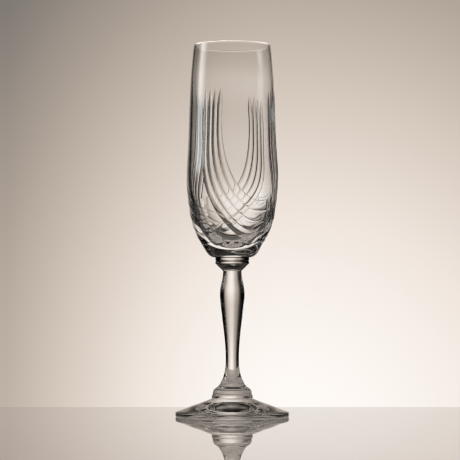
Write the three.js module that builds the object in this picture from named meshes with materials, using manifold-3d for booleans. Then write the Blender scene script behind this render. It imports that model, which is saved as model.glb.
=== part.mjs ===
// A cut-crystal champagne flute: a tall bowl, a ring (merese) under it, a baluster stem, a stepped
// collar and a cone foot. Each is a separate gather of glass, and the five are fused hot, end to end.
// Swags of wheel cuts sweep down and round the bowl.
// Millimetres, +Z up, origin at the centre of the foot's resting face.
import * as THREE from "three";
import { mergeVertices } from "three/addons/utils/BufferGeometryUtils.js";
import Module from "manifold-3d";

// Driving dimensions of the turned shapes
const TOTAL_HEIGHT = 210;
const FOOT_RADIUS = 32.1;
const FOOT_HEIGHT = 9.9;
const FOOT_EDGE = 2.8; // thickness of the foot at its rounded edge
const FOOT_EDGE_TOP = 1.1; // radii of the rounding above and below the edge
const FOOT_EDGE_BOTTOM = 0.6;
const FOOT_LAND = 5; // width of the flat ring that the foot rests on
const FOOT_DISHING = 0.7; // how far the middle of the underside is hollowed
const COLLAR_RADIUS = 11.6;
const COLLAR_TOP = 12;
const COLLAR_BEVEL = 0.4;
const FLARE_RADIUS = 11.1; // the stem's flare where it stands on the collar
const STEM_TOP = 81.8;
const NECK_RADIUS = 5.2; // radius of the fused joint between stem and merese
const MERESE_RADIUS = 9.6;
const GROOVE_HEIGHT = 87.5; // the fine groove round the merese
const GROOVE_DEPTH = 0.35;
const BOWL_SEAT = 89.5; // height of the fused joint between merese and bowl
const SEAT_RADIUS = 11;
const RIM_RADIUS = 21.9;
const RIM_WALL = 1;
const BELLY_RADIUS = 25.95;
const BELLY_HEIGHT = 133;
const CAVITY_FLOOR = 97; // the bowl's solid base is the glass below this height

// Driving dimensions of the cutting: four like swags, each of four cuts side by side.
// Their edges are numbered 0 to 4, from the clear window outwards.
const SWAG_TURNS = [0, 93, 169.5, 262]; // degrees round the bowl, anticlockwise seen from above
const CUTS = 4;
const TIP_HEIGHT = 184.5; // where the upright cuts run out, in points
const TIP_LENGTH = 9;
const TIP_LEAN = 2.5; // degrees that edge 0 leans towards the window at its tip
const SHOULDER_HEIGHT = 165; // where upright edge 0 starts to sweep round the bowl
const SHOULDER_HEIGHT_STEP = -5;
const FIRST_EDGE_ANGLE = -13.6; // degrees from the swag's own zero
const EDGE_ANGLE_STEP = -6.9;
const LOW_ANGLE = 36; // where edge 0 is at its lowest
const LOW_ANGLE_STEP = 1.5;
const LOW_HEIGHT = 121;
const LOW_HEIGHT_STEP = -6;
const TAIL_REACH = 78; // half-width in degrees of the shallow curve that each edge climbs again
const UPRIGHT_DEPTH = 0.58; // depth of the upright cuts, which are round-bottomed
const SWEPT_DEPTH = 0.2; // depth of the wide cuts below, which are nearly flat-bottomed
const OUTER_DEPTH = 0.9; // depth of the outermost cut below, which is a lopsided mitre
const OUTER_VALLEY = 0.35; // where its valley lies between its two edges
const RIDGE_DEPTH = 0.1; // how far the ridges between cuts lie under the turned surface
const TAIL_FADE = 0.12; // share of a cut's length over which it runs out at its tail
const CUTTER_HEIGHT = 3; // how far the cutter stands out of the glass

// Fineness of the round shapes and of the cutters
const ROUND_SEGMENTS = 64;
const CUT_PLACES = [0, 0.2, 0.5, 0.8];
const OUTER_CUT_PLACES = [0, OUTER_VALLEY, 0.8];
const UPRIGHT_STEPS = 4;
const SWEEP_STEPS = 8;
const TAIL_STEPS = 4;

// Glass finish shared by all five pieces
const CRYSTAL = { color: 0xf2efe9, roughness: 0.03, metalness: 0, transparent: true, opacity: 0.35 };

const wasm = await Module();
wasm.setup();

const radians = THREE.MathUtils.degToRad;

// The points of a smooth curve through the given [radius, height] stations.
function smooth(stations, steps) {
  const curve = new THREE.SplineCurve(stations.map(([r, z]) => new THREE.Vector2(r, z)));
  return curve.getSpacedPoints(steps);
}

// Straight runs between the given [radius, height] corners.
function corners(...stations) {
  return stations.map(([r, z]) => new THREE.Vector2(r, z));
}

// A solid turned about Z. Its outline runs from the axis, round the outside, and back to the axis.
function turned(outline) {
  const points = outline.filter((p, i) => i === 0 || p.distanceTo(outline[i - 1]) > 0.01);
  return new THREE.LatheGeometry(points, ROUND_SEGMENTS).rotateX(Math.PI / 2);
}

function crystal(name, geometry) {
  const mesh = new THREE.Mesh(geometry, new THREE.MeshStandardMaterial(CRYSTAL));
  mesh.name = name;
  return mesh;
}

// Cone foot: hollowed underside, flat resting ring, rounded edge, nearly straight slope.
function foot() {
  const landOutside = FOOT_RADIUS - FOOT_EDGE_BOTTOM;
  const landInside = landOutside - FOOT_LAND;
  const edge = new THREE.Path();
  edge.absarc(landOutside, FOOT_EDGE_BOTTOM, FOOT_EDGE_BOTTOM, -Math.PI / 2, 0, false);
  const edgeTop = FOOT_EDGE - FOOT_EDGE_TOP;
  edge.absarc(FOOT_RADIUS - FOOT_EDGE_TOP, edgeTop, FOOT_EDGE_TOP, 0, radians(70), false);
  const slope = [
    [FOOT_RADIUS - 0.7, FOOT_EDGE],
    [27.3, 4.15],
    [23.1, 5.8],
    [16.5, 8.1],
    [COLLAR_RADIUS + 0.4, FOOT_HEIGHT],
  ];
  return turned([
    ...corners([0, FOOT_DISHING], [landInside * 0.6, FOOT_DISHING * 0.6], [landInside, 0]),
    ...edge.getPoints(3),
    ...smooth(slope, 5),
    ...corners([0, FOOT_HEIGHT]),
  ]);
}

// Stepped collar between the foot and the flare of the stem.
function footCollar() {
  return turned(corners(
    [0, FOOT_HEIGHT],
    [COLLAR_RADIUS, FOOT_HEIGHT],
    [COLLAR_RADIUS, COLLAR_TOP - COLLAR_BEVEL],
    [COLLAR_RADIUS - COLLAR_BEVEL, COLLAR_TOP],
    [0, COLLAR_TOP],
  ));
}

// Baluster stem: a bell flare at the bottom, a thin waist, a swelling knop and a narrow neck.
function stem() {
  const outline = [
    [FLARE_RADIUS, 12.9],
    [10.5, 14.9],
    [7.8, 17.2],
    [6.3, 19.5],
    [5.25, 21.8],
    [4.55, 24.2],
    [4.05, 26.8],
    [3.74, 32],
    [4.15, 41.5],
    [5.4, 52.6],
    [6.4, 61],
    [7, 69],
    [6.65, 73],
    [5.95, 76.2],
    [5.45, 78.8],
    [NECK_RADIUS, STEM_TOP],
  ];
  return turned([
    ...corners([0, COLLAR_TOP], [FLARE_RADIUS, COLLAR_TOP]),
    ...smooth(outline, 22),
    ...corners([0, STEM_TOP]),
  ]);
}

// Merese: a grooved ring under the bowl that runs down into the stem's neck as a funnel.
function merese() {
  const funnel = [
    [NECK_RADIUS, STEM_TOP],
    [6, 82.6],
    [7.2, 83.7],
    [8.3, 84.8],
    [MERESE_RADIUS, 86],
  ];
  return turned([
    ...corners([0, STEM_TOP]),
    ...smooth(funnel, 6),
    ...corners(
      [MERESE_RADIUS, GROOVE_HEIGHT - GROOVE_DEPTH],
      [MERESE_RADIUS - GROOVE_DEPTH, GROOVE_HEIGHT],
      [MERESE_RADIUS, GROOVE_HEIGHT + GROOVE_DEPTH],
      [MERESE_RADIUS, BOWL_SEAT],
      [0, BOWL_SEAT],
    ),
  ]);
}

// The bowl's outside before it is cut, from its seat to the rim.
const bowlOutside = smooth([
  [SEAT_RADIUS, BOWL_SEAT],
  [12.6, 90.3],
  [15.1, 93.3],
  [18.5, 99],
  [21.5, 105],
  [24.3, 115],
  [25.1, 121],
  [BELLY_RADIUS, BELLY_HEIGHT],
  [25.4, 148],
  [24.2, 180],
  [23.3, 195],
  [RIM_RADIUS, TOTAL_HEIGHT - RIM_WALL / 2],
], 26);

// Bowl blank: solid base, swelling belly, gently closing mouth with a fire-polished rim.
function bowlBlank() {
  const lip = new THREE.Path().absarc(
    RIM_RADIUS - RIM_WALL / 2, TOTAL_HEIGHT - RIM_WALL / 2, RIM_WALL / 2, 0, Math.PI, false,
  );
  const inside = [
    [RIM_RADIUS - RIM_WALL, TOTAL_HEIGHT - RIM_WALL / 2],
    [22.25, 195],
    [22.5, 182],
    [22.9, 165],
    [23.3, 148],
    [23.6, BELLY_HEIGHT],
    [22.4, 124],
    [20.2, 117],
    [17, 110.5],
    [13.6, 105.5],
    [10, 101.5],
    [5.5, 98.2],
    [0, CAVITY_FLOOR],
  ];
  return turned([
    ...corners([0, BOWL_SEAT]),
    ...bowlOutside,
    ...lip.getPoints(4),
    ...smooth(inside, 20),
  ]);
}

// The uncut bowl's radius at a height.
function bowlRadius(height) {
  const above = bowlOutside.findIndex((p) => p.y >= height);
  const [low, high] = [bowlOutside[above - 1], bowlOutside[above]];
  return THREE.MathUtils.mapLinear(height, low.y, high.y, low.x, high.x);
}

// Where edge i of a swag stands upright, starts to sweep, and is lowest. A number between two
// edges is a place within a cut.
function edgeSizes(i) {
  return {
    topAngle: FIRST_EDGE_ANGLE + EDGE_ANGLE_STEP * i,
    shoulder: SHOULDER_HEIGHT + SHOULDER_HEIGHT_STEP * i,
    lowAngle: LOW_ANGLE + LOW_ANGLE_STEP * i,
    low: LOW_HEIGHT + LOW_HEIGHT_STEP * i,
  };
}

// The height of edge i at an angle. The edge falls as a quarter of an ellipse from its shoulder to
// its lowest point, then climbs along a wider one.
function sweptHeight(i, angle) {
  const { topAngle, shoulder, lowAngle, low } = edgeSizes(i);
  const reach = angle < lowAngle ? lowAngle - topAngle : TAIL_REACH;
  const share = Math.min(1, Math.abs(angle - lowAngle) / reach);
  return shoulder - (shoulder - low) * Math.sqrt(1 - share ** 2);
}

// The angle at which edge i of a swag runs into the outermost edge of the next swag, which stands
// some degrees further round.
function tailAngle(i, spacing) {
  let [before, after] = [LOW_ANGLE, LOW_ANGLE + TAIL_REACH - 1];
  for (let halving = 0; halving < 30; halving++) {
    const middle = (before + after) / 2;
    if (sweptHeight(CUTS, middle - spacing) > sweptHeight(i, middle)) before = middle;
    else after = middle;
  }
  return before;
}

// Points [angle, height] along edge i, from its tip down the bowl and round to its tail.
function edgePath(i, spacing) {
  const { topAngle, shoulder, lowAngle } = edgeSizes(i);
  const path = [];
  for (let k = 0; k < UPRIGHT_STEPS; k++) {
    const share = k / UPRIGHT_STEPS;
    const lean = TIP_LEAN * (1 - i / CUTS) * (1 - share) ** 2;
    path.push([topAngle + lean, THREE.MathUtils.lerp(TIP_HEIGHT, shoulder, share)]);
  }
  for (let k = 0; k < SWEEP_STEPS; k++) {
    const turn = Math.cos(((k / SWEEP_STEPS) * Math.PI) / 2);
    const angle = lowAngle - (lowAngle - topAngle) * turn;
    path.push([angle, sweptHeight(i, angle)]);
  }
  for (let k = 0; k <= TAIL_STEPS; k++) {
    const angle = THREE.MathUtils.lerp(lowAngle, tailAngle(i, spacing), k / TAIL_STEPS);
    path.push([angle, sweptHeight(i, angle)]);
  }
  return path;
}

// A point on the bowl, lifted off the turned surface by a distance that is negative in a cut.
function onBowl([angle, height], lift) {
  const r = bowlRadius(height) + lift;
  return [r * Math.sin(radians(angle)), -r * Math.cos(radians(angle)), height];
}

// Depth of a swag's cuts at a place across them, at a share of their length. They start round and
// go over into what they are below.
function cutDepth(place, share) {
  const within = place % 1;
  const outermost = place > CUTS - 1;
  const mitre = Math.min(within / OUTER_VALLEY, (1 - within) / (1 - OUTER_VALLEY));
  const round = UPRIGHT_DEPTH * (1 - (2 * within - 1) ** 2);
  const swept = outermost ? OUTER_DEPTH * mitre : SWEPT_DEPTH * (1 - Math.abs(2 * within - 1) ** 5);
  const [from, to] = outermost ? [0.32, 0.5] : [0.36, 0.58];
  const ridge = place === 0 || place === CUTS ? -0.05 : RIDGE_DEPTH;
  return ridge + THREE.MathUtils.lerp(round, swept, THREE.MathUtils.smoothstep(share, from, to));
}

// The cutter for one swag: a bent bar whose inner face is a row of ridges and valleys. Both its
// ends lift out of the glass, so that the cuts run out in points.
function swagCutter(spacing) {
  const places = [];
  for (let cut = 0; cut < CUTS - 1; cut++) places.push(...CUT_PLACES.map((place) => cut + place));
  places.push(...OUTER_CUT_PLACES.map((place) => CUTS - 1 + place), CUTS);
  const lines = places.map((place) => edgePath(place, spacing));
  const stations = lines[0].length;
  const positions = [];
  for (let s = 0; s < stations; s++) {
    const share = s / (stations - 1);
    const nearTip = Math.max(0, 1 - (TIP_HEIGHT - lines[0][s][1]) / TIP_LENGTH);
    const nearTail = Math.max(0, 1 - (1 - share) / TAIL_FADE);
    const raise = (UPRIGHT_DEPTH + RIDGE_DEPTH + 0.1) * Math.max(nearTip, nearTail);
    lines.forEach((line, j) => positions.push(...onBowl(line[s], raise - cutDepth(places[j], share))));
    lines.toReversed().forEach((line) => positions.push(...onBowl(line[s], CUTTER_HEIGHT)));
  }
  const ring = 2 * lines.length;
  const faces = [];
  for (let s = 0; s + 1 < stations; s++) {
    for (let j = 0; j < ring; j++) {
      const [a, b] = [s * ring + j, s * ring + ((j + 1) % ring)];
      faces.push(a, a + ring, b, b, a + ring, b + ring);
    }
  }
  const last = (stations - 1) * ring;
  for (let j = 0; j + 1 < lines.length; j++) {
    const [a, b, c, d] = [j, j + 1, ring - 2 - j, ring - 1 - j];
    faces.push(a, b, c, a, c, d);
    faces.push(last + a, last + c, last + b, last + a, last + d, last + c);
  }
  const geometry = new THREE.BufferGeometry();
  geometry.setAttribute("position", new THREE.Float32BufferAttribute(positions, 3));
  geometry.setIndex(faces);
  return geometry;
}

// A closed geometry as a solid that can be cut, and back.
function solid(geometry) {
  const bare = geometry.clone();
  bare.deleteAttribute("normal");
  bare.deleteAttribute("uv");
  const merged = mergeVertices(bare, 1e-4);
  return new wasm.Manifold(new wasm.Mesh({
    numProp: 3,
    vertProperties: merged.attributes.position.array,
    triVerts: new Uint32Array(merged.index.array),
  }));
}

function geometryOf(body) {
  const { vertProperties, triVerts } = body.getMesh();
  const geometry = new THREE.BufferGeometry();
  geometry.setAttribute("position", new THREE.BufferAttribute(vertProperties, 3));
  geometry.setIndex(new THREE.BufferAttribute(triVerts, 1));
  geometry.computeVertexNormals();
  return geometry;
}

// The bowl with its swags cut
function bowl() {
  let body = solid(bowlBlank());
  SWAG_TURNS.forEach((turn, k) => {
    const next = SWAG_TURNS[k + 1] ?? SWAG_TURNS[0] + 360;
    body = body.subtract(solid(swagCutter(next - turn)).rotate([0, 0, turn]));
  });
  return geometryOf(body);
}

const flute = new THREE.Group();
flute.add(
  crystal("foot", foot()),
  crystal("foot_collar", footCollar()),
  crystal("stem", stem()),
  crystal("merese", merese()),
  crystal("bowl", bowl()),
);

export default flute;
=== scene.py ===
"""A cut-crystal champagne flute: five turned pieces of glass fused end to end, with swags of
wheel cuts round the bowl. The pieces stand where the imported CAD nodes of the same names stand."""
import math

import bmesh
import bpy
import numpy as np
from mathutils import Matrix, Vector


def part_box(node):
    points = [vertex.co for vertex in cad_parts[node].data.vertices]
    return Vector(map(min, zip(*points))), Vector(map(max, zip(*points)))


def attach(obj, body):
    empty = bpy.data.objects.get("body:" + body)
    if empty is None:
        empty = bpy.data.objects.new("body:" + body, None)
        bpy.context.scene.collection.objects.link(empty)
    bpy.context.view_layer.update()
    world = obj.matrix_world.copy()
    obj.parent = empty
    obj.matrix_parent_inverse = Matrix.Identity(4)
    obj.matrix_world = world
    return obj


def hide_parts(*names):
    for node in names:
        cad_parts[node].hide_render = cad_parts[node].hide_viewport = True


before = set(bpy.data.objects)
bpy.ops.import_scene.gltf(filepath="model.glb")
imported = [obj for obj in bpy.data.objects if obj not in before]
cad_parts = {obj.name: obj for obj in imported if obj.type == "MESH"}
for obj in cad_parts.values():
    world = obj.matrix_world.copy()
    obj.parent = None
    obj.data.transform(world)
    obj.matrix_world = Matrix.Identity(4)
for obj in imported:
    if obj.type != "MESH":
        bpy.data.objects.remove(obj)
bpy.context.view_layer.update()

MM = 0.001  # this script works in millimetres and makes its meshes in metres
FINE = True
ROUND_SEGMENTS = 256 if FINE else 128

# Heights of the fused joints and largest radii, from the CAD nodes
FOOT_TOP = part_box("foot")[1].z / MM
COLLAR_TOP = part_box("foot_collar")[1].z / MM
STEM_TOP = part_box("stem")[1].z / MM
BOWL_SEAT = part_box("merese")[1].z / MM
TOTAL_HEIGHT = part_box("bowl")[1].z / MM
FOOT_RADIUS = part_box("foot")[1].x / MM
COLLAR_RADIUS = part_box("foot_collar")[1].x / MM
FLARE_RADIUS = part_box("stem")[1].x / MM
MERESE_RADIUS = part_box("merese")[1].x / MM

# Sizes of the turned shapes that the boxes don't give, as in the CAD model
FOOT_EDGE = 2.8  # thickness of the foot at its rounded edge
FOOT_EDGE_TOP = 1.1  # radii of the rounding above and below the edge
FOOT_EDGE_BOTTOM = 0.6
FOOT_LAND = 5  # width of the flat ring that the foot rests on
FOOT_DISHING = 0.7  # how far the middle of the underside is hollowed
COLLAR_BEVEL = 0.4
NECK_RADIUS = 5.2  # radius of the fused joint between stem and merese
GROOVE_HEIGHT = 87.5  # the fine groove round the merese
GROOVE_DEPTH = 0.35
SEAT_RADIUS = 11
RIM_RADIUS = 21.9
RIM_WALL = 1
BELLY_RADIUS = 25.95
BELLY_HEIGHT = 133
CAVITY_FLOOR = 97  # the bowl's solid base is the glass below this height

# The fused joints, from the foot up: the height and radius at which two pieces meet
JOINTS = (
    (FOOT_TOP, COLLAR_RADIUS),
    (COLLAR_TOP, FLARE_RADIUS),
    (STEM_TOP, NECK_RADIUS),
    (BOWL_SEAT, MERESE_RADIUS),
)

# The cutting: four like swags, each of four cuts side by side. Their edges are numbered 0 to 4
# from the clear window outwards, and a number between two edges is a place within a cut.
SWAG_TURNS = (0, 93, 169.5, 262)  # degrees round the bowl, anticlockwise seen from above
CUTS = 4
TIP_HEIGHT = 184.5  # where the upright cuts run out, in points
TIP_LENGTH = 9
TIP_LEAN = 2.5  # degrees that edge 0 leans towards the window at its tip
SHOULDER_HEIGHT = 165  # where upright edge 0 starts to sweep round the bowl
SHOULDER_HEIGHT_STEP = -5
FIRST_EDGE_ANGLE = -13.6  # degrees from the swag's own zero
EDGE_ANGLE_STEP = -6.9
LOW_ANGLE = 36  # where edge 0 is at its lowest
LOW_ANGLE_STEP = 1.5
LOW_HEIGHT = 121
LOW_HEIGHT_STEP = -6
TAIL_REACH = 78  # half-width in degrees of the shallow curve that each edge climbs again
UPRIGHT_DEPTH = 0.58  # depth of the upright cuts, which are round-bottomed
SWEPT_DEPTH = 0.2  # depth of the wide cuts below, which are nearly flat-bottomed
OUTER_DEPTH = 0.9  # depth of the outermost cut below, which is a lopsided mitre
OUTER_VALLEY = 0.35  # where its valley lies between its two edges
RIDGE_DEPTH = 0.1  # how far the ridges between cuts lie under the turned surface
TAIL_FADE = 0.12  # share of a cut's length over which it runs out at its tail
CUTTER_HEIGHT = 3  # how far the cutter stands out of the glass
CUT_SHARES = (0, 0.06, 0.16, 0.3, 0.43, 0.57, 0.7, 0.84, 0.94)  # fineness across a cut
PATH_STEPS = (30, 90, 40) if FINE else (12, 36, 16)  # along the upright, the sweep and the tail

# The glass and the studio, in metres and watts
CRYSTAL_IOR = 1.545
TABLE_WIDTH = 3
TABLE_NEAR_EDGE = -1.596
TABLE_FAR_EDGE = 0.119
TABLE_THICKNESS = 0.03
TABLE_GAP = 0.0001  # keeps the foot's resting ring clear of the table top
BACKDROP_DISTANCE = 1.25
BACKDROP_CENTRE = 0.068  # where the pool of light is, to the right of the glass
SOFTBOX_DISTANCE = 0.65
OVERHEAD_ENERGY = 12
RIM_LIGHT_ENERGY = 34
CAMERA_EYE = Vector((0, -1.12, 0.056))
CAMERA_AIM = Vector((-0.0013, 0, 0.1051))
CAMERA_LENS = 155


# ---------------------------------------------------------------- outlines and turned meshes

def smooth(stations, steps):
    """Evenly spaced points on the natural cubic spline through [radius, height] stations."""
    p = np.array(stations, float)
    t = np.concatenate([[0], np.cumsum(np.linalg.norm(np.diff(p, axis=0), axis=1))])
    n, h = len(t), np.diff(t)
    a = np.zeros((n, n))
    b = np.zeros((n, 2))
    a[0, 0] = a[-1, -1] = 1
    for i in range(1, n - 1):
        a[i, i - 1:i + 2] = h[i - 1], 2 * (h[i - 1] + h[i]), h[i]
        b[i] = 6 * ((p[i + 1] - p[i]) / h[i] - (p[i] - p[i - 1]) / h[i - 1])
    m = np.linalg.solve(a, b)
    out = []
    for x in np.linspace(0, t[-1], steps + 1):
        i = min(np.searchsorted(t, x, side="right") - 1, n - 2)
        u, v = t[i + 1] - x, x - t[i]
        point = (m[i] * u ** 3 + m[i + 1] * v ** 3) / (6 * h[i])
        point += (p[i] / h[i] - m[i] * h[i] / 6) * u + (p[i + 1] / h[i] - m[i + 1] * h[i] / 6) * v
        out.append(tuple(point))
    return out


def arc(centre_r, centre_z, radius, start, end, steps):
    """Points on a circular arc of an outline, angles in degrees."""
    return [
        (centre_r + radius * math.cos(a), centre_z + radius * math.sin(a))
        for a in np.radians(np.linspace(start, end, steps + 1))
    ]


def turned(name, outline):
    """A closed mesh turned about Z from an outline that starts and ends on the axis."""
    bm = bmesh.new()
    rings = []
    previous = (-1, 0)
    for r, z in outline:
        if math.dist((r, z), previous) < 0.003:
            continue
        previous = (r, z)
        if r < 1e-6:
            rings.append([bm.verts.new((0, 0, z * MM))])
            continue
        ring = []
        for k in range(ROUND_SEGMENTS):
            turn = 2 * math.pi * k / ROUND_SEGMENTS
            ring.append(bm.verts.new((r * math.sin(turn) * MM, -r * math.cos(turn) * MM, z * MM)))
        rings.append(ring)
    for low, high in zip(rings, rings[1:]):
        for k in range(ROUND_SEGMENTS):
            n = (k + 1) % ROUND_SEGMENTS
            if len(low) == 1:
                bm.faces.new((low[0], high[n], high[k]))
            elif len(high) == 1:
                bm.faces.new((low[k], low[n], high[0]))
            else:
                bm.faces.new((low[k], low[n], high[n], high[k]))
    mesh = bpy.data.meshes.new(name)
    bm.to_mesh(mesh)
    bm.free()
    piece = bpy.data.objects.new(name, mesh)
    bpy.context.scene.collection.objects.link(piece)
    return piece


def foot_outline():
    land_outside = FOOT_RADIUS - FOOT_EDGE_BOTTOM
    land_inside = land_outside - FOOT_LAND
    shoulder = FOOT_RADIUS - FOOT_EDGE_TOP
    hollow = smooth([
        (0, FOOT_DISHING),
        (land_inside * 0.6, FOOT_DISHING * 0.6),
        (land_inside, 0),
    ], 20)
    slope = smooth([
        (shoulder + FOOT_EDGE_TOP * math.cos(math.radians(70)), FOOT_EDGE),
        (27.3, 4.15),
        (23.1, 5.8),
        (16.5, 8.1),
        (COLLAR_RADIUS + 0.4, FOOT_TOP),
    ], 30)
    return [
        *hollow,
        *arc(land_outside, FOOT_EDGE_BOTTOM, FOOT_EDGE_BOTTOM, -90, 0, 10),
        *arc(shoulder, FOOT_EDGE - FOOT_EDGE_TOP, FOOT_EDGE_TOP, 0, 70, 12),
        *slope[1:],
        (COLLAR_RADIUS, FOOT_TOP),
        (0, FOOT_TOP),
    ]


def collar_outline():
    return [
        (0, FOOT_TOP),
        (COLLAR_RADIUS, FOOT_TOP),
        *arc(COLLAR_RADIUS - COLLAR_BEVEL, COLLAR_TOP - COLLAR_BEVEL, COLLAR_BEVEL, 0, 90, 8),
        (FLARE_RADIUS, COLLAR_TOP),
        (0, COLLAR_TOP),
    ]


def stem_outline():
    return [(0, COLLAR_TOP), *smooth([
        (FLARE_RADIUS, COLLAR_TOP),
        (FLARE_RADIUS, 12.9),
        (10.5, 14.9),
        (7.8, 17.2),
        (6.3, 19.5),
        (5.25, 21.8),
        (4.55, 24.2),
        (4.05, 26.8),
        (3.74, 32),
        (4.15, 41.5),
        (5.4, 52.6),
        (6.4, 61),
        (7, 69),
        (6.65, 73),
        (5.95, 76.2),
        (5.45, 78.8),
        (NECK_RADIUS, STEM_TOP),
    ], 160), (0, STEM_TOP)]


def merese_outline():
    funnel = smooth([
        (NECK_RADIUS, STEM_TOP),
        (6, 82.6),
        (7.2, 83.7),
        (8.3, 84.8),
        (MERESE_RADIUS, 86),
    ], 30)
    return [
        (0, STEM_TOP),
        *funnel,
        *smooth([(MERESE_RADIUS, 86.2), (MERESE_RADIUS, GROOVE_HEIGHT - GROOVE_DEPTH)], 4),
        (MERESE_RADIUS - GROOVE_DEPTH, GROOVE_HEIGHT),
        *smooth([(MERESE_RADIUS, GROOVE_HEIGHT + GROOVE_DEPTH), (MERESE_RADIUS, BOWL_SEAT)], 4),
        (0, BOWL_SEAT),
    ]


BOWL_OUTSIDE = smooth([
    (SEAT_RADIUS, BOWL_SEAT),
    (12.6, 90.3),
    (15.1, 93.3),
    (18.5, 99),
    (21.5, 105),
    (24.3, 115),
    (25.1, 121),
    (BELLY_RADIUS, BELLY_HEIGHT),
    (25.4, 148),
    (24.2, 180),
    (23.3, 195),
    (RIM_RADIUS, TOTAL_HEIGHT - RIM_WALL / 2),
], 150)


def bowl_outline():
    inside = smooth([
        (RIM_RADIUS - RIM_WALL, TOTAL_HEIGHT - RIM_WALL / 2),
        (22.25, 195),
        (22.5, 182),
        (22.9, 165),
        (23.3, 148),
        (23.6, BELLY_HEIGHT),
        (22.4, 124),
        (20.2, 117),
        (17, 110.5),
        (13.6, 105.5),
        (10, 101.5),
        (5.5, 98.2),
        (0, CAVITY_FLOOR),
    ], 120)
    lip = arc(RIM_RADIUS - RIM_WALL / 2, TOTAL_HEIGHT - RIM_WALL / 2, RIM_WALL / 2, 0, 180, 16)
    return [(0, BOWL_SEAT), (MERESE_RADIUS, BOWL_SEAT), *BOWL_OUTSIDE, *lip, *inside]


# ---------------------------------------------------------------- the cuts round the bowl

def bowl_radius(height):
    """The uncut bowl's radius at a height."""
    return np.interp(height, [z for _, z in BOWL_OUTSIDE], [r for r, _ in BOWL_OUTSIDE])


def edge_sizes(edge):
    """Where an edge stands upright, where it starts to sweep, and where it is lowest."""
    return (
        FIRST_EDGE_ANGLE + EDGE_ANGLE_STEP * edge,
        SHOULDER_HEIGHT + SHOULDER_HEIGHT_STEP * edge,
        LOW_ANGLE + LOW_ANGLE_STEP * edge,
        LOW_HEIGHT + LOW_HEIGHT_STEP * edge,
    )


def swept_height(edge, angle):
    """Height of an edge at an angle: a quarter of an ellipse down, then a wider one up again."""
    top_angle, shoulder, low_angle, low = edge_sizes(edge)
    reach = low_angle - top_angle if angle < low_angle else TAIL_REACH
    share = min(1, abs(angle - low_angle) / reach)
    return shoulder - (shoulder - low) * math.sqrt(1 - share ** 2)


def tail_angle(edge, spacing):
    """The angle at which an edge runs into the outermost edge of the next swag."""
    before, after = LOW_ANGLE, LOW_ANGLE + TAIL_REACH - 1
    for _ in range(30):
        middle = (before + after) / 2
        if swept_height(CUTS, middle - spacing) > swept_height(edge, middle):
            before = middle
        else:
            after = middle
    return before


def edge_path(edge, spacing):
    """Points (angle, height) along an edge, from its tip down the bowl and round to its tail."""
    top_angle, shoulder, low_angle, _low = edge_sizes(edge)
    upright, sweep, tail = PATH_STEPS
    path = []
    for share in np.linspace(0, 1, upright, endpoint=False):
        lean = TIP_LEAN * (1 - edge / CUTS) * (1 - share) ** 2
        path.append((top_angle + lean, TIP_HEIGHT + (shoulder - TIP_HEIGHT) * share))
    for k in range(sweep):
        angle = low_angle - (low_angle - top_angle) * math.cos(k / sweep * math.pi / 2)
        path.append((angle, swept_height(edge, angle)))
    end = tail_angle(edge, spacing)
    for angle in np.linspace(low_angle, end, tail + 1):
        path.append((angle, swept_height(edge, angle)))
    return path


def on_bowl(angle, height, lift):
    r = bowl_radius(height) + lift
    a = math.radians(angle)
    return Vector((r * math.sin(a), -r * math.cos(a), height)) * MM


def smoothstep(x, low, high):
    x = min(1, max(0, (x - low) / (high - low)))
    return x * x * (3 - 2 * x)


def cut_depth(place, share):
    """Depth of a swag's cuts at a place across them, at a share of their length. They start
    round and go over into what they are below."""
    within = place % 1
    if place > CUTS - 1:
        swept = smoothstep(share, 0.32, 0.5)
        swept_cut = OUTER_DEPTH * min(within / OUTER_VALLEY, (1 - within) / (1 - OUTER_VALLEY))
    else:
        swept = smoothstep(share, 0.36, 0.58)
        swept_cut = SWEPT_DEPTH * (1 - abs(2 * within - 1) ** 5)
    round_cut = UPRIGHT_DEPTH * (1 - (2 * within - 1) ** 2)
    ridge = -0.05 if place in (0, CUTS) else RIDGE_DEPTH
    return ridge + round_cut * (1 - swept) + swept_cut * swept


def swag_cutter(turn, spacing):
    """The cutter for one swag, turned to its place: its inner face is a row of ridges and
    valleys. Both its ends lift out of the glass, so that the cuts run out in points."""
    places = [cut + share for cut in range(CUTS) for share in CUT_SHARES] + [CUTS]
    paths = [edge_path(place, spacing) for place in places]
    stations = len(paths[0])
    bm = bmesh.new()
    rings = []
    for s in range(stations):
        share = s / (stations - 1)
        near_tip = max(0, 1 - (TIP_HEIGHT - paths[0][s][1]) / TIP_LENGTH)
        near_tail = max(0, 1 - (1 - share) / TAIL_FADE)
        lift = max(near_tip, near_tail) * (UPRIGHT_DEPTH + RIDGE_DEPTH + 0.1)
        ring = []
        for place, path in zip(places, paths):
            angle, height = path[s]
            ring.append(bm.verts.new(on_bowl(angle + turn, height, lift - cut_depth(place, share))))
        for path in reversed(paths):
            angle, height = path[s]
            ring.append(bm.verts.new(on_bowl(angle + turn, height, CUTTER_HEIGHT)))
        rings.append(ring)
    size = len(rings[0])
    for here, there in zip(rings, rings[1:]):
        for j in range(size):
            n = (j + 1) % size
            bm.faces.new((here[j], there[j], there[n], here[n]))
    half = size // 2
    for ring, flip in ((rings[0], False), (rings[-1], True)):
        for j in range(half - 1):
            face = [ring[j], ring[j + 1], ring[size - 2 - j], ring[size - 1 - j]]
            bm.faces.new(face[::-1] if flip else face)
    mesh = bpy.data.meshes.new("cutter")
    bmesh.ops.recalc_face_normals(bm, faces=bm.faces)
    bm.to_mesh(mesh)
    bm.free()
    cutter = bpy.data.objects.new("cutter", mesh)
    bpy.context.scene.collection.objects.link(cutter)
    return cutter


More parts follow.
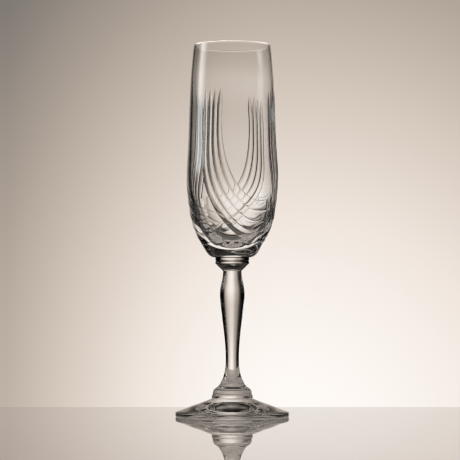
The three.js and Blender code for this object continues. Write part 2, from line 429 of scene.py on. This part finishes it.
def cut(piece, cutters):
    """Cuts the piece with each cutter and removes the cutters."""
    for cutter in cutters:
        boolean = piece.modifiers.new("cut", "BOOLEAN")
        boolean.object = cutter
        boolean.operation = "DIFFERENCE"
        boolean.solver = "EXACT"
    evaluated = piece.evaluated_get(bpy.context.evaluated_depsgraph_get())
    mesh = bpy.data.meshes.new_from_object(evaluated)
    piece.modifiers.clear()
    blank = piece.data
    piece.data = mesh
    bpy.data.meshes.remove(blank)
    for cutter in cutters:
        cut_mesh = cutter.data
        bpy.data.objects.remove(cutter)
        bpy.data.meshes.remove(cut_mesh)


# ---------------------------------------------------------------- materials

def material(name):
    made = bpy.data.materials.new(name)
    made.use_nodes = True
    tree = made.node_tree
    return made, tree, tree.nodes["Principled BSDF"]


def node_math(tree, operation, a, b=None, c=None):
    node = tree.nodes.new("ShaderNodeMath")
    node.operation = operation
    for socket, value in zip(node.inputs, (a, b, c)):
        if value is None:
            continue
        if isinstance(value, (int, float)):
            socket.default_value = value
        else:
            tree.links.new(value, socket)
    return node.outputs[0]


def noise(tree, place, scale, detail, low, high):
    """Soft noise over an object, as a value between low and high."""
    texture = tree.nodes.new("ShaderNodeTexNoise")
    texture.inputs["Scale"].default_value = scale
    texture.inputs["Detail"].default_value = detail
    tree.links.new(place, texture.inputs["Vector"])
    level = tree.nodes.new("ShaderNodeMapRange")
    level.inputs["From Min"].default_value = 0.3
    level.inputs["From Max"].default_value = 0.8
    level.inputs["To Min"].default_value = low
    level.inputs["To Max"].default_value = high
    tree.links.new(texture.outputs["Fac"], level.inputs["Value"])
    return level.outputs["Result"]


def tinted(tree, amount, clean, worn):
    """A colour between the clean and the worn one."""
    mix = tree.nodes.new("ShaderNodeMix")
    mix.data_type = "RGBA"
    tree.links.new(amount, mix.inputs["Factor"])
    mix.inputs["A"].default_value = (*clean, 1)
    mix.inputs["B"].default_value = (*worn, 1)
    return mix.outputs["Result"]


def crystal_material(name, striation):
    """Clear polished crystal: a trace of haze and tint, and the faint swell of its surface.
    Cut glass has fine upright lines left by the wheel as well."""
    made, tree, shader = material(name)
    shader.inputs["Transmission Weight"].default_value = 1
    shader.inputs["IOR"].default_value = CRYSTAL_IOR
    place = tree.nodes.new("ShaderNodeTexCoord").outputs["Object"]
    colour = tinted(tree, noise(tree, place, 30, 2, 0, 1), (0.99, 0.987, 0.98), (0.975, 0.972, 0.965))
    tree.links.new(colour, shader.inputs["Base Color"])
    tree.links.new(noise(tree, place, 55, 6, -0.006, 0.011), shader.inputs["Roughness"])
    along = tree.nodes.new("ShaderNodeMapping")
    along.inputs["Scale"].default_value = (1, 1, 0.03)
    tree.links.new(place, along.inputs["Vector"])
    lines = noise(tree, along.outputs["Vector"], 2500, 1, 0, striation)
    height = node_math(tree, "ADD", noise(tree, place, 70, 1, 0, 1), lines)
    bump = tree.nodes.new("ShaderNodeBump")
    bump.inputs["Strength"].default_value = 0.02
    bump.inputs["Distance"].default_value = 0.0003
    tree.links.new(height, bump.inputs["Height"])
    tree.links.new(bump.outputs["Normal"], shader.inputs["Normal"])
    return made


def joint_material():
    """The fused faces between two pieces: nothing is seen there, as the glass runs through."""
    made, _tree, shader = material("fused_joint")
    shader.inputs["Alpha"].default_value = 0
    return made


def finish_piece(piece, glass, joint, joints):
    """Smooth shading with crisp creases, and the joint material on the fused faces.
    Each joint is a (height, radius) disc."""
    mesh = piece.data
    mesh.materials.clear()
    mesh.materials.append(glass)
    mesh.materials.append(joint)
    for face in mesh.polygons:
        reach = math.hypot(face.center.x, face.center.y) / MM
        face.material_index = int(abs(face.normal.z) > 0.999 and any(
            abs(face.center.z / MM - height) < 0.001 and reach < radius for height, radius in joints
        ))
    mesh.shade_smooth()
    mesh.set_sharp_from_angle(angle=math.radians(18))


# ---------------------------------------------------------------- the pieces

crystal = crystal_material("crystal", 0)
cut_crystal = crystal_material("cut_crystal", 0.015)
fused = joint_material()

foot = turned("foot_visual", foot_outline())
collar = turned("foot_collar_visual", collar_outline())
stem = turned("stem_visual", stem_outline())
merese = turned("merese_visual", merese_outline())
bowl = turned("bowl_visual", bowl_outline())

spacings = np.diff([*SWAG_TURNS, SWAG_TURNS[0] + 360])
cut(bowl, [swag_cutter(turn, spacing) for turn, spacing in zip(SWAG_TURNS, spacings)])

for piece, node, glass, joints in (
    (foot, "foot", crystal, JOINTS[:1]),
    (collar, "foot_collar", crystal, JOINTS[:2]),
    (stem, "stem", crystal, JOINTS[1:3]),
    (merese, "merese", crystal, JOINTS[2:]),
    (bowl, "bowl", cut_crystal, JOINTS[3:]),
):
    finish_piece(piece, glass, fused, joints)
    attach(piece, "root")
    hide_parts(node)


# ---------------------------------------------------------------- table, surroundings, light

def table():
    """A pale glossy table top. Its far edge lies a little way behind the glass."""
    top = bpy.data.meshes.new("table_top")
    bm = bmesh.new()
    bmesh.ops.create_cube(bm, size=1)
    depth = TABLE_FAR_EDGE - TABLE_NEAR_EDGE
    middle = Vector((0, (TABLE_FAR_EDGE + TABLE_NEAR_EDGE) / 2, -TABLE_THICKNESS / 2 - TABLE_GAP))
    for v in bm.verts:
        v.co = middle + v.co * Vector((TABLE_WIDTH, depth, TABLE_THICKNESS))
    bmesh.ops.bevel(bm, geom=bm.edges[:], offset=0.002, segments=3, affect="EDGES")
    bm.to_mesh(top)
    bm.free()
    top.shade_smooth()
    top.set_sharp_from_angle(angle=math.radians(40))
    obj = bpy.data.objects.new("table_top", top)
    bpy.context.scene.collection.objects.link(obj)
    made, tree, shader = material("pale_table")
    place = tree.nodes.new("ShaderNodeTexCoord").outputs["Object"]
    colour = tinted(tree, noise(tree, place, 12, 4, 0, 1), (0.71, 0.65, 0.6), (0.66, 0.6, 0.55))
    tree.links.new(colour, shader.inputs["Base Color"])
    tree.links.new(noise(tree, place, 40, 5, 0.006, 0.016), shader.inputs["Roughness"])
    shader.inputs["IOR"].default_value = 2.3
    obj.data.materials.append(made)
    return obj


def ramp(tree, value, stops):
    node = tree.nodes.new("ShaderNodeValToRGB")
    elements = node.color_ramp.elements
    while len(elements) > 1:
        elements.remove(elements[0])
    elements[0].position = stops[0][0]
    elements[0].color = (*stops[0][1], 1)
    for position, colour in stops[1:]:
        elements.new(position).color = (*colour, 1)
    tree.links.new(value, node.inputs["Fac"])
    return node.outputs["Color"]


def step_between(tree, value, start, end):
    """0 before the start and 1 past the end, with a soft step between them."""
    node = tree.nodes.new("ShaderNodeMapRange")
    node.interpolation_type = "SMOOTHSTEP"
    node.inputs["From Min"].default_value = start
    node.inputs["From Max"].default_value = end
    tree.links.new(value, node.inputs["Value"])
    return node.outputs["Result"]


def multiply(tree, a, b):
    return node_math(tree, "MULTIPLY", a, b)


def bell(tree, value, centre, below, above):
    """1 at the centre, falling off as a Gaussian of one width below it and another above it."""
    aside = node_math(tree, "SUBTRACT", value, centre)
    low = node_math(tree, "DIVIDE", node_math(tree, "MINIMUM", aside, 0), below)
    high = node_math(tree, "DIVIDE", node_math(tree, "MAXIMUM", aside, 0), above)
    square = node_math(tree, "POWER", node_math(tree, "ADD", low, high), 2)
    return node_math(tree, "EXPONENT", multiply(tree, square, -0.5))


def seen_directly(tree):
    """1 for what the camera sees without any glass before it, else 0: there the studio is pale,
    while the glass is surrounded by darkness, which draws its edges."""
    return tree.nodes.new("ShaderNodeLightPath").outputs["Is Camera Ray"]


def light_panel(name, corners):
    """A four-cornered sheet that gives off light. Returns its material's nodes and place sockets."""
    mesh = bpy.data.meshes.new(name)
    mesh.from_pydata(corners, [], [(0, 1, 2, 3)])
    obj = bpy.data.objects.new(name, mesh)
    bpy.context.scene.collection.objects.link(obj)
    made = bpy.data.materials.new(name)
    made.use_nodes = True
    tree = made.node_tree
    tree.nodes.clear()
    place = tree.nodes.new("ShaderNodeTexCoord")
    split = tree.nodes.new("ShaderNodeSeparateXYZ")
    tree.links.new(place.outputs["Object"], split.inputs[0])
    glow = tree.nodes.new("ShaderNodeEmission")
    out = tree.nodes.new("ShaderNodeOutputMaterial")
    tree.links.new(glow.outputs[0], out.inputs["Surface"])
    mesh.materials.append(made)
    return obj, tree, split.outputs, glow


def backdrop():
    """A sheet far behind the glass with a warm pool of light low in its middle."""
    y = BACKDROP_DISTANCE
    _sheet, tree, (x, _y, z), glow = light_panel("backdrop", [
        (-2, y, -0.55),
        (2, y, -0.55),
        (2, y, 2),
        (-2, y, 2),
    ])
    pool = bell(tree, x, BACKDROP_CENTRE, 0.27, 0.413)
    spill = multiply(tree, bell(tree, x, -0.3, 0.2, 0.2), 0.46)
    level = node_math(tree, "MAXIMUM", pool, spill)
    level = multiply(tree, level, bell(tree, z, -0.101, 0.6, 0.413))
    level = multiply(tree, level, step_between(tree, z, -0.5, -0.38))
    level = multiply(tree, level, step_between(tree, x, 0.95, 0.6))
    level = node_math(tree, "MAXIMUM", level, multiply(tree, seen_directly(tree), 0.2))
    colour = ramp(tree, level, [
        (0, (0.002, 0.002, 0.002)),
        (0.2, (0.217, 0.197, 0.174)),
        (0.4, (0.459, 0.389, 0.335)),
        (0.6, (0.675, 0.586, 0.518)),
        (0.8, (0.867, 0.788, 0.723)),
        (1, (1, 0.96, 0.92)),
    ])
    tree.links.new(colour, glow.inputs["Color"])


def softbox():
    """A soft light to the left of the glass, level with the top of its bowl and above."""
    x = -SOFTBOX_DISTANCE
    sheet, tree, (_x, y, z), glow = light_panel("softbox", [
        (x, -0.4, 0),
        (x, 0.5, 0),
        (x, 0.5, 0.7),
        (x, -0.4, 0.7),
    ])
    level = multiply(tree, bell(tree, y, 0.068, 0.09, 0.09), step_between(tree, z, 0.14, 0.24))
    level = multiply(tree, level, step_between(tree, z, 0.56, 0.36))
    direct = seen_directly(tree)
    level = multiply(tree, level, node_math(tree, "SUBTRACT", 1, direct))
    level = node_math(tree, "ADD", level, multiply(tree, direct, 0.12))
    colour = ramp(tree, level, [(0, (0, 0, 0)), (1, (0.97, 0.99, 1))])
    tree.links.new(colour, glow.inputs["Color"])
    glow.inputs["Strength"].default_value = 4
    return sheet


def surroundings():
    """A dark studio, a little lighter below."""
    world = bpy.data.worlds.new("studio")
    bpy.context.scene.world = world
    world.use_nodes = True
    tree = world.node_tree
    place = tree.nodes.new("ShaderNodeTexCoord")
    split = tree.nodes.new("ShaderNodeSeparateXYZ")
    tree.links.new(place.outputs["Generated"], split.inputs[0])
    below = step_between(tree, split.outputs[2], -0.17, -0.5)
    below = multiply(tree, below, bell(tree, split.outputs[0], 0, 0.5, 0.5))
    dark = ramp(tree, below, [(0, (0.004, 0.004, 0.004)), (1, (0.095, 0.087, 0.08))])
    seen = tree.nodes.new("ShaderNodeMix")
    seen.data_type = "RGBA"
    tree.links.new(seen_directly(tree), seen.inputs["Factor"])
    tree.links.new(dark, seen.inputs["A"])
    seen.inputs["B"].default_value = (0.5, 0.47, 0.44, 1)
    tree.links.new(seen.outputs["Result"], tree.nodes["Background"].inputs["Color"])


def linked(name, members):
    collection = bpy.data.collections.new(name)
    for obj in members:
        collection.objects.link(obj)
    return collection


def area_light(name, place, size, energy, lit):
    """A lamp that some objects alone reflect, and that nothing else shades."""
    light = bpy.data.lights.new(name, "AREA")
    light.shape = "RECTANGLE"
    light.size, light.size_y = size
    light.energy = energy
    light.color = (1, 0.97, 0.94)
    obj = bpy.data.objects.new(name, light)
    obj.location = place
    obj.rotation_mode = "QUATERNION"
    obj.rotation_quaternion = Vector((-place[0], -place[1], 0.1 - place[2])).to_track_quat("-Z", "Y")
    obj.visible_transmission = False
    bpy.context.scene.collection.objects.link(obj)
    obj.light_linking.receiver_collection = linked(name + "_falls_on", lit)
    obj.light_linking.blocker_collection = linked(name + "_is_shaded_by", lit)


def camera():
    """Seen level from a little above the foot, aimed slightly up, with a long lens."""
    data = bpy.data.cameras.new("camera")
    data.sensor_width = 36
    data.lens = CAMERA_LENS
    obj = bpy.data.objects.new("camera", data)
    obj.location = CAMERA_EYE
    obj.rotation_mode = "QUATERNION"
    obj.rotation_quaternion = (CAMERA_AIM - CAMERA_EYE).to_track_quat("-Z", "Y")
    bpy.context.scene.collection.objects.link(obj)
    bpy.context.scene.camera = obj


surroundings()
backdrop()
floor = table()
lit_by_softbox = [floor, collar, stem, merese, bowl]
softbox().light_linking.receiver_collection = linked("softbox_falls_on", lit_by_softbox)
area_light("overhead", (0, -0.2, 1.4), (1, 1), OVERHEAD_ENERGY, [floor])
area_light("rim_light", (0, 0.9, 0.85), (1.6, 0.5), RIM_LIGHT_ENERGY, [bowl])
camera()

scene = bpy.context.scene
scene.view_settings.view_transform = "Standard"
scene.view_settings.look = "None"
scene.cycles.use_denoising = True
scene.cycles.max_bounces = 32
scene.cycles.transmission_bounces = 32
scene.cycles.transparent_max_bounces = 32
scene.cycles.glossy_bounces = 16
scene.cycles.sample_clamp_indirect = 2
scene.cycles.filter_width = 1.25
